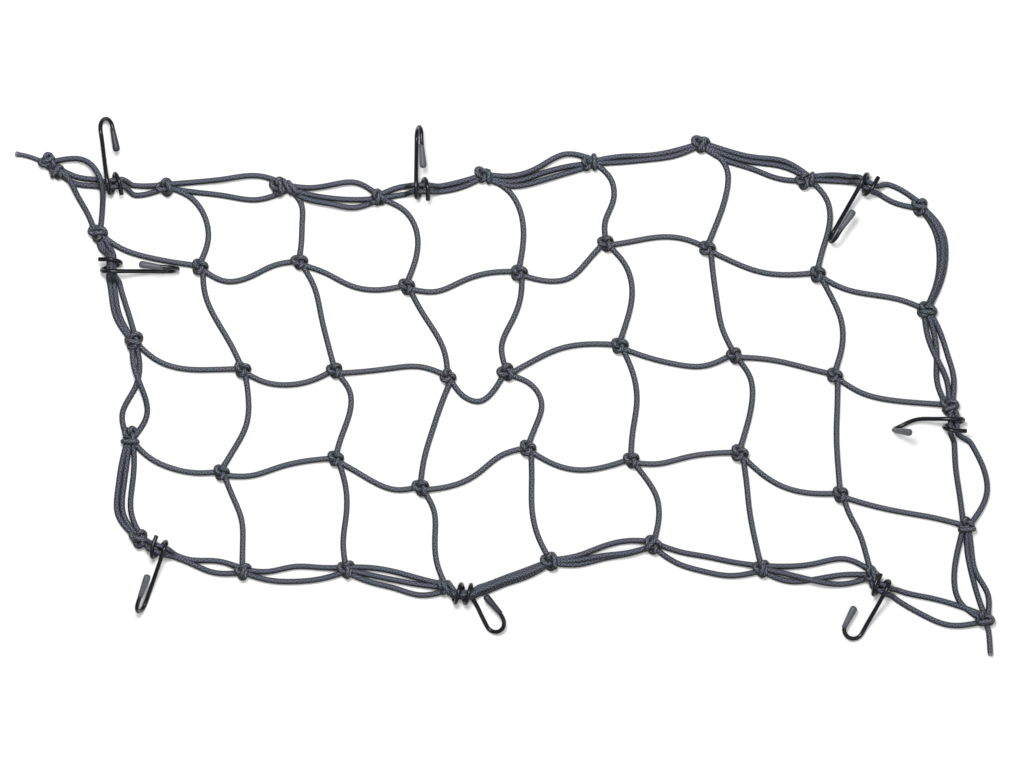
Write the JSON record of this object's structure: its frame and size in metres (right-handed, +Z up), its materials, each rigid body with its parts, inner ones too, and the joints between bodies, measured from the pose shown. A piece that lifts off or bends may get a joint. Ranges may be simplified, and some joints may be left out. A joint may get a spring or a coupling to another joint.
{
  "type": "cargo net",
  "caption": "Elastic cord cargo net laid flat, knotted into square meshes inside a border of gathered cords, with wire hooks coiled round the border.",
  "frame": {"origin": "middle of the box round the whole net, on the surface it lies on", "axes": "+X along the long way of the net, +Y towards its far edge, +Z up"},
  "size_m": [0.8562, 0.4722, 0.0293],
  "materials": {
    "braided_elastic": "matte braided sleeve",
    "coated_wire": "gloss black coating",
    "cap_plastic": "matt"
  },
  "bodies": {
    "root": {"net": "braided_elastic", "hook_1": "coated_wire", "hook_1_cap": "cap_plastic", "hook_2": "coated_wire", "hook_2_cap": "cap_plastic", "hook_3": "coated_wire", "hook_3_cap": "cap_plastic", "hook_4": "coated_wire", "hook_4_cap": "cap_plastic", "hook_5": "coated_wire", "hook_5_cap": "cap_plastic", "hook_6": "coated_wire", "hook_6_cap": "cap_plastic", "hook_7": "coated_wire", "hook_7_cap": "cap_plastic", "hook_8": "coated_wire", "hook_8_cap": "cap_plastic"}
  },
  "joints": []
}
